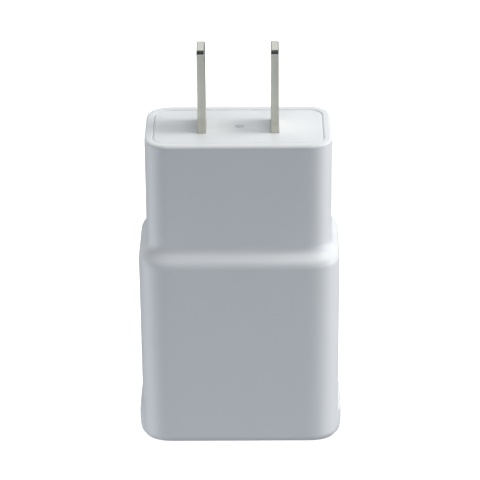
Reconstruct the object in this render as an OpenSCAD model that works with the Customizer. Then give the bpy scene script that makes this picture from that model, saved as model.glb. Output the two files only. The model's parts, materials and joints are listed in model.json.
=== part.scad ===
// USB wall charger with two flat mains blades on a stepped housing.
// Millimetres. +Z runs from the USB port's end towards the blades, +X across the blades, +Y to the back.
// The origin is the centre of the base, on the surface that the charger stands on.

/* [Housing] */
// Height of the housing, from its base to the rim round the face plate
housing_h = 57.2; // [56.5:0.1:60]
// Width of the neck
neck_w = 32.3; // [31.5:0.1:33]
// Depth of the neck
neck_d = 18.8; // [18.6:0.1:20]
// Corner radius of the neck, seen from above
neck_r = 4; // [3:0.1:5]
// Length of the neck, from the rim to the top of the shoulder
neck_len = 18.65; // [17.5:0.05:19]
// Width of the body just under the shoulder
body_w = 35.2; // [34.8:0.05:36]
// Depth of the body
body_d = 22.9; // [22.4:0.1:24]
// Corner radius of the body, seen from above
body_r = 5.2; // [4.2:0.1:5.5]
// Shape of the outer corners: 2 is a circular arc, and more spreads the bend along the sides
corner_power = 2.4; // [2:0.1:2.8]
// How far each side of the body draws in between the shoulder and the base
body_draft = 0.1; // [0:0.05:0.2]
// Radius of the two arcs of the shoulder
shoulder_r = 2.15; // [1.4:0.05:2.4]
// Steepest angle of the shoulder from the vertical
shoulder_angle = 48; // [45:1:52]
// Height of the rounding at the base
base_round = 2.1; // [1.8:0.1:4]
// How far the base's rounding takes in the left and right sides
base_inset_x = 0.5; // [0.4:0.1:4.2]
// How far the base's rounding takes in the front and back
base_inset_y = 4; // [2:0.05:4.2]
// Wall thickness of the housing
wall = 1.9; // [1.7:0.1:2]
// Width of the rim on the left and the right of the face plate
rim_w = 1.47; // [1.1:0.01:1.6]
// Width of the rim at the front and the back of the face plate
rim_d = 1.7; // [1.1:0.05:1.8]
// Radius of the rim's outer edge
rim_round = 0.5; // [0.3:0.1:0.8]

/* [Side pads] */
// How far a side pad stands out from the body
pad_out = 0.6; // [0.3:0.05:0.8]
// Length of a side pad, from front to back
pad_len = 14.5; // [6:0.5:15]
// Height of a side pad's upper edge above the base
pad_top = 5.5; // [4:0.1:7]
// Height of the slope at a side pad's upper edge
pad_slope = 1.2; // [0.5:0.1:2]
// Height of the rounding at a side pad's lower edge
pad_round = 2.6; // [1.5:0.1:3]
// How far a side pad's lower edge draws in
pad_inset = 0.55; // [0.4:0.05:0.6]

/* [Face plate] */
// Thickness of the face plate
plate_t = 2.4; // [2:0.1:2.8]
// Gap between the face plate and the rim
plate_gap = 0.04; // [0.04:0.02:0.3]
// How far the face plate lies below the rim
plate_recess = 0.1; // [0:0.05:0.3]

/* [Blades] */
// Distance between the centres of the two blades
blade_spacing = 12.7; // [12.7:0.1:13]
// Width of a blade
blade_w = 6.35; // [6:0.05:6.5]
// Thickness of a blade
blade_t = 1.4; // [1.3:0.05:1.6]
// Length of a blade outside the rim
blade_len = 14.8; // [14:0.1:18]
// Length of the bevel at a blade's tip, along the blade
tip_bevel_h = 0.45; // [0.2:0.05:1]
// Width of the bevel at a blade's tip, on each edge
tip_bevel_w = 0.86; // [0.4:0.02:1.2]

/* [USB port] */
// Width of the opening inside the port's metal shell
usb_w = 12.5; // [12.5:0.1:12.6]
// Height of the opening inside the port's metal shell
usb_h = 5.12; // [5.12:0.02:5.2]
// Sheet thickness of the port's metal shell
usb_sheet = 0.3; // [0.25:0.05:0.35]
// Length of the port's metal shell
usb_len = 13.5; // [13:0.1:14]
// Depth of the shell's mouth behind the base
usb_recess = 0.4; // [0.2:0.1:0.8]
// Thickness of the tongue that carries the contacts
tongue_t = 1.84; // [1.8:0.02:1.9]

/* [Circuit board] */
// Width of the circuit board
board_w = 26.5; // [26:0.1:27]
// Thickness of the circuit board
board_t = 1.2; // [1:0.1:1.6]
// Height of the circuit board's lower edge
board_bottom = 2.4; // [2.2:0.1:3]
// Height of the circuit board's upper edge
board_top = 51.6; // [50.5:0.1:52]

/* [Hidden] */
$fn = 48;

// A cut or a join passes this far through a surface
over = 0.5;

// ---- Housing ----
corner_steps = 8;
ring_points = 4 * (corner_steps + 1);
fine_steps = 5;
shoulder_steps = 5;
pad_steps = 6;
base_steps = 8;
cavity_corner = 1.2;
corner_spread = 0.48;
// How much smaller the corner radius is on the flat of the base
base_corner_loss = 2;
// Radius of a side pad's upright edges, and how deep its root lies in the wall
pad_edge = 2.8;
pad_root = 0.8;
// The rounding at a side pad's lower edge stops short of the flat of the base
pad_turn = 80;

// The shoulder's side view is an arc, a straight slope and a second arc
step_y = (body_d - neck_d) / 2;
slope_len = (step_y - 2 * shoulder_r * (1 - cos(shoulder_angle))) / sin(shoulder_angle);
shoulder_h = 2 * shoulder_r * sin(shoulder_angle) + slope_len * cos(shoulder_angle);
shoulder_top = housing_h - neck_len;
shoulder_bottom = shoulder_top - shoulder_h;
waist_w = body_w - 2 * body_draft;

// Fall and outward share of the first arc's points, from the neck
function arc_out(a) = [shoulder_r * sin(a), shoulder_r * (1 - cos(a))];
function upper_arc() = [for (i = [0 : shoulder_steps]) arc_out(shoulder_angle * i / shoulder_steps)];
function shoulder_points() = concat(
    upper_arc(),
    [for (i = [shoulder_steps : -1 : 0]) [shoulder_h, step_y] - upper_arc()[i]]
);

// One level of the outside or the inside: height, width, depth, corner radius and corner power
function mix(a, b, t) = a + (b - a) * t;
function shoulder_level(p) = [
    shoulder_top - p[0],
    mix(neck_w, body_w, p[1] / step_y),
    mix(neck_d, body_d, p[1] / step_y),
    mix(neck_r, body_r, p[1] / step_y),
    corner_power
];
function ease(t) = t * t * (3 - 2 * t);
function base_level(a) = [
    base_round * (1 - sin(a)),
    waist_w - 2 * base_inset_x * (1 - cos(a)),
    body_d - 2 * base_inset_y * (1 - cos(a)),
    body_r - base_corner_loss * (1 - cos(a)),
    corner_power
];
function rim_level(a) = [
    housing_h - rim_round * (1 - cos(a)),
    neck_w - 2 * rim_round * (1 - sin(a)),
    neck_d - 2 * rim_round * (1 - sin(a)),
    neck_r - rim_round * (1 - sin(a)),
    corner_power
];
function outer_levels() = concat(
    [for (i = [0 : fine_steps]) rim_level(90 * i / fine_steps)],
    [for (p = shoulder_points()) shoulder_level(p)],
    [for (i = [0 : base_steps]) base_level(90 * i / base_steps)]
);

// The inside follows the outside at the wall's thickness, with a ledge that carries the face plate
ledge_z = housing_h - plate_recess - plate_t;
neck_bore = [neck_w - 2 * wall, neck_d - 2 * wall, neck_r - wall];
body_bore = [waist_w - 2 * wall, body_d - 2 * wall, body_r - wall];
seat = [neck_w - 2 * rim_w, neck_d - 2 * rim_d, neck_r - rim_w];
circular = 2;
function level(z, size) = [z, size[0], size[1], size[2], circular];
function grown(size, by) = [size[0] + 2 * by, size[1] + 2 * by, max(size[2] + by, cavity_corner / 2)];
function floor_levels() = [
    for (i = [0 : fine_steps])
        level(wall + cavity_corner * (1 - cos(90 * i / fine_steps)),
              grown(body_bore, cavity_corner * (sin(90 * i / fine_steps) - 1)))
];
function inner_levels() = concat(
    floor_levels(),
    [level(shoulder_bottom, body_bore),
     level(shoulder_top - shoulder_r, neck_bore),
     level(ledge_z, neck_bore),
     level(ledge_z, seat),
     level(housing_h, seat)]
);

// How far a corner reaches along its sides, for its radius: further at a higher power, and as full
function reach(radius, power) = radius * (1 + corner_spread * (power - circular));
function bent(a, power) = pow(max(0, a), 2 / power);

// One level's outline: a rectangle with round corners, counter-clockwise
function outline(l) = [
    for (corner = [0 : 3], i = [0 : corner_steps])
        let (
            a = 90 * i / corner_steps,
            even = corner % 2 == 0,
            u = bent(even ? cos(a) : sin(a), l[4]),
            v = bent(even ? sin(a) : cos(a), l[4]),
            sx = (corner == 0 || corner == 3) ? 1 : -1,
            sy = corner < 2 ? 1 : -1,
            far = reach(l[3], l[4])
        )
        [sx * (l[1] / 2 - far + far * u), sy * (l[2] / 2 - far + far * v), l[0]]
];

module loft(levels) {
    n = ring_points;
    last = len(levels) - 1;
    points = [for (l = levels) each outline(l)];
    sides = [
        for (i = [0 : last - 1], j = [0 : n - 1])
            let (a = i * n + j, b = i * n + (j + 1) % n)
            each [[a, b, b + n], [a, b + n, a + n]]
    ];
    first_cap = [for (j = [n - 1 : -1 : 0]) j];
    last_cap = [for (j = [0 : n - 1]) last * n + j];
    polyhedron(points = points, faces = concat([first_cap], sides, [last_cap]), convexity = 8);
}

// A flat block with round corners, standing on z = 0
module rounded_slab(w, d, h, r) {
    linear_extrude(height = h)
        rounded_rectangle(w, d, r);
}

module rounded_rectangle(w, d, r) {
    square([w, d - 2 * r], center = true);
    square([w - 2 * r, d], center = true);
    for (x = [-1, 1], y = [-1, 1])
        translate([x * (w / 2 - r), y * (d / 2 - r)])
            circle(r);
}

// A block given by its lowest corner and its highest corner
module block(low, high) {
    translate(low)
        cube(high - low);
}

// ---- Places inside ----
board_slack = 0.1;
board_front = usb_h / 2 + usb_sheet + board_slack;
board_back = board_front + board_t;
port_clear = 0.15;
usb_corner = 0.6;
usb_outer_w = usb_w + 2 * usb_sheet;
usb_outer_h = usb_h + 2 * usb_sheet;
rail_t = 1.0;
rail_slack = 0.1;
rail_overlap = 0.45;
rail_reach = board_w / 2 - rail_overlap;
rail_top = 33;
blade_x = blade_spacing / 2;
slot_slack = 0.02;

// Levels of the two side pads taken as one block across the body
function pad_level(z, out) = [z, waist_w + 2 * out, pad_len, pad_edge, circular];
function pad_levels() = concat(
    [for (i = [0 : pad_steps])
        pad_level(pad_top - pad_slope * i / pad_steps, pad_out * ease(i / pad_steps))],
    [for (i = [0 : pad_steps])
        let (a = pad_turn * i / pad_steps)
        pad_level(pad_round * (1 - sin(a)), pad_out - pad_inset * (1 - cos(a)))]
);

module side_pads() {
    inside = waist_w / 2 - pad_root;
    difference() {
        loft(pad_levels());
        block([-inside, -pad_len, -over], [inside, pad_len, pad_top + over]);
    }
}

module housing() {
    color("whitesmoke")
        difference() {
            union() {
                loft(concat(inner_levels(), outer_levels()));
                board_rails();
                side_pads();
            }
            translate([0, 0, -over])
                rounded_slab(usb_outer_w + 2 * port_clear, usb_outer_h + 2 * port_clear,
                             wall + 2 * over, usb_corner);
        }
}

// Pairs of ribs inside the two side walls that guide the board's edges
module board_rails() {
    for (side = [0, 1], y = [board_front - rail_slack - rail_t, board_back + rail_slack])
        mirror([side, 0, 0])
            block([rail_reach, y, wall - over], [body_bore[0] / 2 + over, y + rail_t, rail_top]);
}

// ---- Face plate and blades ----
plate_w = seat[0] - 2 * plate_gap;
plate_d = seat[1] - 2 * plate_gap;
plate_r = seat[2] - plate_gap;
boss_w = 5;
boss_d = 9;
boss_h = 1.8;
boss_r = 1;
skirt_t = 1.2;
skirt_h = 2.2;
skirt_slack = 0.1;

module face_plate() {
    color("white")
        difference() {
            union() {
                translate([0, 0, ledge_z])
                    rounded_slab(plate_w, plate_d, plate_t, plate_r);
                for (x = [-blade_x, blade_x])
                    translate([x, 0, ledge_z - boss_h])
                        rounded_slab(boss_w, boss_d, boss_h + over, boss_r);
                plate_skirt();
            }
            for (x = [-blade_x, blade_x])
                block([x - blade_t / 2 - slot_slack, -blade_w / 2 - slot_slack, ledge_z - boss_h - over],
                      [x + blade_t / 2 + slot_slack, blade_w / 2 + slot_slack, housing_h + over]);
        }
}

// A low wall under the plate that centres it in the neck
module plate_skirt() {
    outer = grown(neck_bore, -skirt_slack);
    inner = grown(outer, -skirt_t);
    translate([0, 0, ledge_z - skirt_h])
        difference() {
            rounded_slab(outer[0], outer[1], skirt_h + over, outer[2]);
            translate([0, 0, -over])
                rounded_slab(inner[0], inner[1], skirt_h + over, inner[2]);
        }
}

tail_w = 4;
tail_end = 48.2;
tail_shoulder = ledge_z - boss_h;
blade_tip = housing_h + blade_len;

module blade(x) {
    half = blade_w / 2;
    tail = tail_w / 2;
    color("silver")
        translate([x - blade_t / 2, 0, 0])
            rotate([90, 0, 90])
                linear_extrude(height = blade_t)
                    polygon([
                        [-tail, tail_end], [tail, tail_end], [tail, tail_shoulder], [half, tail_shoulder],
                        [half, blade_tip - tip_bevel_h], [half - tip_bevel_w, blade_tip],
                        [tip_bevel_w - half, blade_tip], [-half, blade_tip - tip_bevel_h],
                        [-half, tail_shoulder], [-tail, tail_shoulder]
                    ]);
}

module blade_left() {
    blade(-blade_x);
}

module blade_right() {
    blade(blade_x);
}

clip_sheet = 0.35;
clip_slack = 0.03;
clip_low = 46.4;
clip_high = 51.2;
clip_front = -2.6;

// A folded spring that grips a blade's tail and is soldered to the board
module contact_clip(x) {
    gap = blade_t / 2 + clip_slack;
    color("goldenrod")
        translate([x, 0, 0])
            difference() {
                block([-gap - clip_sheet, clip_front, clip_low], [gap + clip_sheet, board_front, clip_high]);
                block([-gap, clip_front - over, clip_low - over],
                      [gap, board_front - clip_sheet, clip_high + over]);
            }
}

module contact_clip_left() {
    contact_clip(-blade_x);
}

module contact_clip_right() {
    contact_clip(blade_x);
}

// ---- Circuit board ----
slot_w = 1.2;
slot_z = 30.6;
slot_x = 5;
notch_w = 1.5;
notch_h = 1.5;
sheet_t = 0.25;
sheet_gap = 2.5;

module main_board() {
    color("darkgreen")
        difference() {
            block([-board_w / 2, board_front, board_bottom], [board_w / 2, board_back, board_top]);
            // Creepage slots between the mains side and the low-voltage side
            for (side = [0, 1])
                mirror([side, 0, 0])
                    block([slot_x, board_front - over, slot_z],
                          [board_w / 2 - notch_w, board_back + over, slot_z + slot_w]);
            // Notches in the lower corners, for the ribs' feet
            for (side = [0, 1])
                mirror([side, 0, 0])
                    block([board_w / 2 - notch_w, board_front - over, board_bottom - over],
                          [board_w / 2 + over, board_back + over, board_bottom + notch_h]);
        }
}

module insulating_sheet() {
    low_w = board_w / 2 - notch_w;
    color("khaki")
        block([-low_w, board_back + sheet_gap, board_bottom],
              [low_w, board_back + sheet_gap + sheet_t, board_top]);
}

// ---- USB port ----
finger_w = 2.2;
finger_len = 5.2;
finger_gap = 0.4;
finger_z = usb_recess + 2.4;
finger_x = 3.1;
leg_w = 1.4;
leg_z = [usb_recess + 3.2, usb_recess + 9.2];
tongue_w = 11.1;
tongue_tip = 3.6;
tongue_back = 2.2;
tongue_offset = 0.55;
tongue_slack = 0.02;
contact_x = [-3.5, -1, 1, 3.5];
contact_w = 1.0;
contact_t = 0.25;
contact_len = 7.2;
contact_setback = 0.6;

// A folded sheet tube, with two spring fingers on each wide side and four soldered legs
module usb_shell() {
    color("lightgray")
        translate([0, 0, usb_recess])
            difference() {
                union() {
                    rounded_slab(usb_outer_w, usb_outer_h, usb_len, usb_corner);
                    for (side = [0, 1], z = leg_z)
                        mirror([side, 0, 0])
                            block([usb_outer_w / 2 - usb_sheet, 0, z - usb_recess],
                                  [usb_outer_w / 2, board_front, z - usb_recess + leg_w]);
                }
                translate([0, 0, -over])
                    rounded_slab(usb_w, usb_h, usb_len + 2 * over, usb_corner - usb_sheet);
                for (x = [-finger_x, finger_x])
                    finger_cut(x);
            }
}

// The U-shaped cut that frees a spring finger, through both wide sides
module finger_cut(x) {
    z = finger_z - usb_recess;
    half = finger_w / 2;
    deep = usb_outer_h / 2 + over;
    block([x - half - finger_gap, -deep, z], [x - half, deep, z + finger_len]);
    block([x + half, -deep, z], [x + half + finger_gap, deep, z + finger_len]);
    block([x - half - finger_gap, -deep, z], [x + half + finger_gap, deep, z + finger_gap]);
}

module usb_tongue() {
    back_low = usb_recess + usb_len - tongue_back;
    color("white")
        union() {
            translate([0, 0, back_low])
                rounded_slab(usb_w - 2 * tongue_slack, usb_h - 2 * tongue_slack, tongue_back,
                             usb_corner - usb_sheet);
            block([-tongue_w / 2, tongue_offset - tongue_t / 2, tongue_tip],
                  [tongue_w / 2, tongue_offset + tongue_t / 2, back_low + over]);
        }
}

module usb_contacts() {
    low = tongue_offset - tongue_t / 2 - contact_t;
    start = tongue_tip + contact_setback;
    color("gold")
        for (x = contact_x)
            block([x - contact_w / 2, low, start],
                  [x + contact_w / 2, low + contact_t, start + contact_len]);
}

// ---- Transformer ----
core_z = 23;
core_w = 13.2;
core_t = 6.2;
core_leg = 1.9;
core_web = 2.0;
core_mid = 3.0;
core_gap = 0.02;
core_stand = 0.5;
core_depth = 9.8;
core_back_y = board_front - core_stand;
core_front_y = core_back_y - core_depth;
core_half = core_depth / 2;
bobbin_wall = 0.6;
bobbin_slack = 0.05;
flange_t = 0.8;
flange_l = 12.4;
flange_r = 0.5;
coil_l = 11.6;
coil_r = 1.6;
coil_slack = 0.9;
tape_t = 0.2;
tube_w = core_mid + 2 * bobbin_wall;
tube_l = core_t + 2 * bobbin_wall + 2 * bobbin_slack;
window_w = core_w / 2 - core_leg;
coil_w = 2 * window_w - coil_slack;
flange_w = 2 * window_w - 2 * bobbin_slack;
flange_front = core_front_y + core_web + bobbin_slack;
flange_back = core_back_y - core_web - bobbin_slack;
pin_x = [-3.6, -1.2, 1.2, 3.6];
pin_r = 0.3;
pin_gap = 0.7;
pin_z = flange_l / 2 + pin_gap;
shelf_edge = 0.4;
shelf_gap = 0.2;

// One half of the ferrite core: an E whose legs point along +Y, with its back on y = 0
module core_half_shape() {
    reach = core_half - core_gap / 2;
    translate([0, 0, core_z - core_t / 2])
        linear_extrude(height = core_t) {
            translate([-core_w / 2, 0])
                square([core_w, core_web]);
            for (x = [-core_w / 2, core_w / 2 - core_leg])
                translate([x, 0])
                    square([core_leg, reach]);
            translate([-core_mid / 2, 0])
                square([core_mid, reach]);
        }
}

module transformer_core_front() {
    color("dimgray")
        translate([0, core_front_y, 0])
            core_half_shape();
}

module transformer_core_back() {
    color("dimgray")
        translate([0, core_back_y, 0])
            mirror([0, 1, 0])
                core_half_shape();
}

// Turns a slab that stands on z = 0 so that it lies along Y from y0, round the core's middle leg
module along_y(y0) {
    translate([0, y0, core_z])
        rotate([-90, 0, 0])
            children();
}

module transformer_bobbin() {
    span = flange_back - flange_front;
    shelf_l = pin_z + pin_r + shelf_edge;
    color("darkslategray")
        difference() {
            union() {
                along_y(flange_front)
                    rounded_slab(flange_w, flange_l, flange_t, flange_r);
                along_y(flange_back - flange_t)
                    rounded_slab(flange_w, flange_l, flange_t, flange_r);
                along_y(flange_front)
                    rounded_slab(tube_w, tube_l, span, bobbin_wall);
                // Shelves past the core that hold the pins
                for (side = [0, 1])
                    translate([0, 0, core_z])
                        mirror([0, 0, side])
                            block([-window_w, flange_back - flange_t, core_t / 2 + shelf_gap],
                                  [window_w, core_back_y - shelf_gap, shelf_l]);
            }
            block([-core_mid / 2 - bobbin_slack, flange_front - over, core_z - core_t / 2 - bobbin_slack],
                  [core_mid / 2 + bobbin_slack, flange_back + over, core_z + core_t / 2 + bobbin_slack]);
        }
}

module coil_ring(outer_w, outer_l, outer_r, inner_w, inner_l, inner_r) {
    y0 = flange_front + flange_t;
    h = flange_back - flange_front - 2 * flange_t;
    along_y(y0)
        difference() {
            rounded_slab(outer_w, outer_l, h, outer_r);
            translate([0, 0, -over])
                rounded_slab(inner_w, inner_l, h + 2 * over, inner_r);
        }
}

module transformer_winding() {
    color("chocolate")
        coil_ring(coil_w - 2 * tape_t, coil_l - 2 * tape_t, coil_r, tube_w, tube_l, bobbin_wall);
}

module transformer_tape() {
    color("yellow")
        coil_ring(coil_w, coil_l, coil_r + tape_t, coil_w - 2 * tape_t, coil_l - 2 * tape_t, coil_r);
}

module transformer_pins() {
    color("silver")
        for (x = pin_x, side = [-1, 1])
            translate([x, core_back_y - shelf_gap, core_z + side * pin_z])
                rotate([-90, 0, 0])
                    cylinder(r = pin_r, h = board_front - core_back_y + shelf_gap);
}

// ---- Parts in round cans ----
lead_r = 0.3;
lead_len = 0.8;
can_stand = 0.15;

// A capacitor that lies along Z from z0, with a rolled groove near its open end and two bent leads
module lying_capacitor(x, z0, r, len, lead_gap) {
    y = board_front - r - can_stand;
    groove_z = 1.3;
    groove = 0.35;
    edge = 0.5;
    translate([x, y, z0]) {
        rotate_extrude()
            polygon([
                [0, 0], [r - edge, 0], [r, edge], [r, groove_z - groove], [r - groove, groove_z],
                [r, groove_z + groove], [r, len - edge], [r - edge, len], [0, len]
            ]);
        for (side = [-1, 1])
            translate([side * lead_gap / 2, 0, -lead_len]) {
                cylinder(r = lead_r, h = lead_len + over);
                sphere(lead_r);
                rotate([-90, 0, 0])
                    cylinder(r = lead_r, h = board_front - y);
            }
    }
}

input_cap_r = 4;
input_cap_len = 11.5;
input_cap_x = [-8.9, -0.5];
input_cap_z = 33.2;
input_lead_gap = 3.5;
output_cap_r = 3.15;
output_cap_len = 9;
output_cap_x = 9.95;
output_cap_z = 4.6;
output_lead_gap = 2.5;

module input_capacitor_left() {
    color("black")
        lying_capacitor(input_cap_x[0], input_cap_z, input_cap_r, input_cap_len, input_lead_gap);
}

module input_capacitor_right() {
    color("black")
        lying_capacitor(input_cap_x[1], input_cap_z, input_cap_r, input_cap_len, input_lead_gap);
}

module output_capacitor_left() {
    color("lightsteelblue")
        lying_capacitor(-output_cap_x, output_cap_z, output_cap_r, output_cap_len, output_lead_gap);
}

module output_capacitor_right() {
    color("lightsteelblue")
        lying_capacitor(output_cap_x, output_cap_z, output_cap_r, output_cap_len, output_lead_gap);
}

// ---- Input choke: a ferrite drum with a wire winding, lying along Z ----
choke_x = 8.4;
choke_z = 33.2;
choke_r = 3.6;
choke_waist = 1.8;
choke_len = 9;
choke_flange = 1.1;
choke_inset = 0.5;

module at_choke() {
    translate([choke_x, board_front - choke_r, choke_z])
        children();
}

module input_choke_core() {
    color("dimgray")
        at_choke()
            rotate_extrude()
                polygon([
                    [0, 0], [choke_r, 0], [choke_r, choke_flange], [choke_waist, choke_flange],
                    [choke_waist, choke_len - choke_flange], [choke_r, choke_len - choke_flange],
                    [choke_r, choke_len], [0, choke_len]
                ]);
}

module input_choke_winding() {
    color("orangered")
        at_choke()
            rotate_extrude()
                translate([choke_waist, choke_flange])
                    square([choke_r - choke_inset - choke_waist, choke_len - 2 * choke_flange]);
}

// ---- Leaded parts ----
fuse_z = 46.9;
fuse_r = 1.6;
fuse_len = 7.5;
fuse_end = 1.4;
fuse_stand = 0.3;
fuse_step = 0.25;
fuse_taper = 0.3;
fuse_edge = 0.4;
fuse_lead = 0.7;
disc_x = 10.2;
disc_z = 22.6;
disc_r = 3.4;
disc_t = 3.0;
disc_edge = 0.9;
disc_stand = 1.2;
disc_lead = 2.2;

// A resistor that lies across the board between the two clips, with thicker ends
module fusible_resistor() {
    y = board_front - fuse_r - fuse_stand;
    waist = fuse_r - fuse_step;
    leg = fuse_len / 2 + fuse_lead;
    color("olivedrab")
        translate([0, y, fuse_z]) {
            rotate([0, 90, 0])
                translate([0, 0, -fuse_len / 2])
                    rotate_extrude()
                        polygon([
                            [0, 0], [fuse_r - fuse_edge, 0], [fuse_r, fuse_edge], [fuse_r, fuse_end],
                            [waist, fuse_end + fuse_taper], [waist, fuse_len - fuse_end - fuse_taper],
                            [fuse_r, fuse_len - fuse_end], [fuse_r, fuse_len - fuse_edge],
                            [fuse_r - fuse_edge, fuse_len], [0, fuse_len]
                        ]);
            rotate([0, 90, 0])
                translate([0, 0, -leg])
                    cylinder(r = lead_r, h = 2 * leg);
            for (side = [-1, 1])
                translate([side * leg, 0, 0]) {
                    sphere(lead_r);
                    rotate([-90, 0, 0])
                        cylinder(r = lead_r, h = board_front - y);
                }
        }
}

// A lens-shaped disc that stands on its leads beside the transformer
module y_capacitor() {
    y = board_front - disc_r - disc_stand;
    color("royalblue")
        translate([disc_x, y, disc_z]) {
            rotate([0, 90, 0])
                translate([0, 0, -disc_t / 2])
                    rotate_extrude()
                        polygon([
                            [0, 0], [disc_r - disc_edge, 0], [disc_r, disc_edge],
                            [disc_r, disc_t - disc_edge], [disc_r - disc_edge, disc_t], [0, disc_t]
                        ]);
            for (side = [-1, 1])
                translate([0, 0, side * disc_lead])
                    rotate([-90, 0, 0])
                        cylinder(r = lead_r, h = board_front - y);
        }
}

// ---- Surface-mounted parts ----
package_stand = 0.15;
package_corner = 0.15;
package_foot = 1.0;
package_bend = 0.4;
package_sheet = 0.2;

// A moulded body, of size [across, along, high], with bent legs on its left and right sides
module leaded_package(size, legs, pitch, leg_w) {
    side_x = size[0] / 2;
    outer = side_x + package_bend;
    inner = outer - package_sheet;
    leg_top = size[2] / 2 + package_sheet;
    translate([0, 0, package_stand])
        rounded_slab(size[0], size[1], size[2] - package_stand, package_corner);
    for (i = [0 : legs - 1], side = [0, 1])
        mirror([side, 0, 0])
            translate([0, (i - (legs - 1) / 2) * pitch - leg_w / 2, 0]) {
                block([side_x - over, 0, size[2] / 2], [outer, leg_w, leg_top]);
                block([inner, 0, 0], [outer, leg_w, leg_top]);
                block([inner, 0, 0], [side_x + package_foot, leg_w, package_sheet]);
            }
}

// Puts a part that stands on z = 0 onto the board's back face, at [across, up]
module on_back(place) {
    translate([place[0], board_back, place[1]])
        rotate([-90, 0, 0])
            children();
}

module on_front(place) {
    translate([place[0], board_front, place[1]])
        rotate([90, 0, 0])
            children();
}

bridge_place = [0, 46.5];
bridge_size = [4, 4.7, 1.6];
bridge_pitch = 2.5;
bridge_leg_w = 0.7;
controller_place = [-4, 37];
controller_size = [3.9, 4.9, 1.5];
controller_leg_w = 0.42;
opto_place = [-10, 24];
opto_size = [4.4, 2.6, 2];
opto_leg_w = 0.4;
small_pitch = 1.27;
rectifier_place = [4, 18];
rectifier_size = [3.6, 4.4, 2.1];
rectifier_leg_w = 2;

module bridge_rectifier() {
    color("black")
        on_back(bridge_place)
            leaded_package(bridge_size, 2, bridge_pitch, bridge_leg_w);
}

module controller_ic() {
    color("black")
        on_back(controller_place)
            leaded_package(controller_size, 4, small_pitch, controller_leg_w);
}

module optocoupler() {
    color("darkslategray")
        on_front(opto_place)
            rotate([0, 0, 90])
                leaded_package(opto_size, 2, small_pitch, opto_leg_w);
}

module output_rectifier() {
    color("black")
        on_back(rectifier_place)
            leaded_package(rectifier_size, 1, small_pitch, rectifier_leg_w);
}

chip_l = 2;
chip_w = 1.25;
chip_h = 0.6;
resistor_places = [[6, 46], [6, 43.5], [-9, 44], [6, 37], [9.5, 37], [-6, 22], [-6, 19.5], [9.5, 12]];
capacitor_places = [[-9.5, 37], [-9.5, 34.5], [-2, 12], [-2, 9.5], [3, 12], [9.5, 40]];

module chips(places, h) {
    for (p = places)
        on_back(p)
            translate([-chip_l / 2, -chip_w / 2, 0])
                cube([chip_l, chip_w, h]);
}

module chip_resistors() {
    color("black")
        chips(resistor_places, chip_h);
}

module chip_capacitors() {
    color("tan")
        chips(capacitor_places, 2 * chip_h);
}

housing();
face_plate();
blade_left();
blade_right();
contact_clip_left();
contact_clip_right();
main_board();
insulating_sheet();
usb_shell();
usb_tongue();
usb_contacts();
transformer_core_front();
transformer_core_back();
transformer_bobbin();
transformer_winding();
transformer_tape();
transformer_pins();
input_capacitor_left();
input_capacitor_right();
input_choke_core();
input_choke_winding();
fusible_resistor();
y_capacitor();
bridge_rectifier();
controller_ic();
optocoupler();
output_rectifier();
output_capacitor_left();
output_capacitor_right();
chip_resistors();
chip_capacitors();
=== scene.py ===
"""Looks of a small USB wall charger: a stepped moulded can, an inset face plate, two flat blades and a port.

Sizes are in millimetres in the shape functions and are turned into metres when a mesh is made.
"""

import json
import math

import bmesh
import bpy
from mathutils import Matrix, Vector


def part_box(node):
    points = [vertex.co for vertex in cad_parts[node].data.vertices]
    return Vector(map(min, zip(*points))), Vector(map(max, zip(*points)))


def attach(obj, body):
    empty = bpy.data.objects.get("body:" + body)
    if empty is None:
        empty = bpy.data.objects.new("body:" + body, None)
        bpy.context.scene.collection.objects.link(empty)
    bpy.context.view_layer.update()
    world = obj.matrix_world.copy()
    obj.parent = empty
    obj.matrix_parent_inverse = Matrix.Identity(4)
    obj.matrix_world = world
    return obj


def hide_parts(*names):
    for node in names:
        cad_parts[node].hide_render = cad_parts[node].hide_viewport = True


MM = 0.001

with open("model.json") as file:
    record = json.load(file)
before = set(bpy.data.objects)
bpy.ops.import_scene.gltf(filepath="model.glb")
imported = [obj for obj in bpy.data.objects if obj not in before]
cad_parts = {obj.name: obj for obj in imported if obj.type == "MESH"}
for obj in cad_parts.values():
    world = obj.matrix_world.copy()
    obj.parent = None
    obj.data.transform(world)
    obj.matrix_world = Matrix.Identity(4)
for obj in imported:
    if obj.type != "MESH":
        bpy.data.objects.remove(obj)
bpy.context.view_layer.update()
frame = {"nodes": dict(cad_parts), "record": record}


def box_mm(node):
    """A CAD node's lowest and highest corner, in millimetres."""
    low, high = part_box(node)
    return low / MM, high / MM


# ---------------------------------------------------------------- sizes, in millimetres
HOUSING_LOW, HOUSING_HIGH = box_mm("housing")
PLATE_LOW, PLATE_HIGH = box_mm("face_plate")
BLADE_LOW, BLADE_HIGH = box_mm("blade_right")
SHELL_LOW, SHELL_HIGH = box_mm("usb_shell")
TONGUE_LOW, TONGUE_HIGH = box_mm("usb_tongue")
CONTACTS_LOW, CONTACTS_HIGH = box_mm("usb_contacts")

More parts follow.
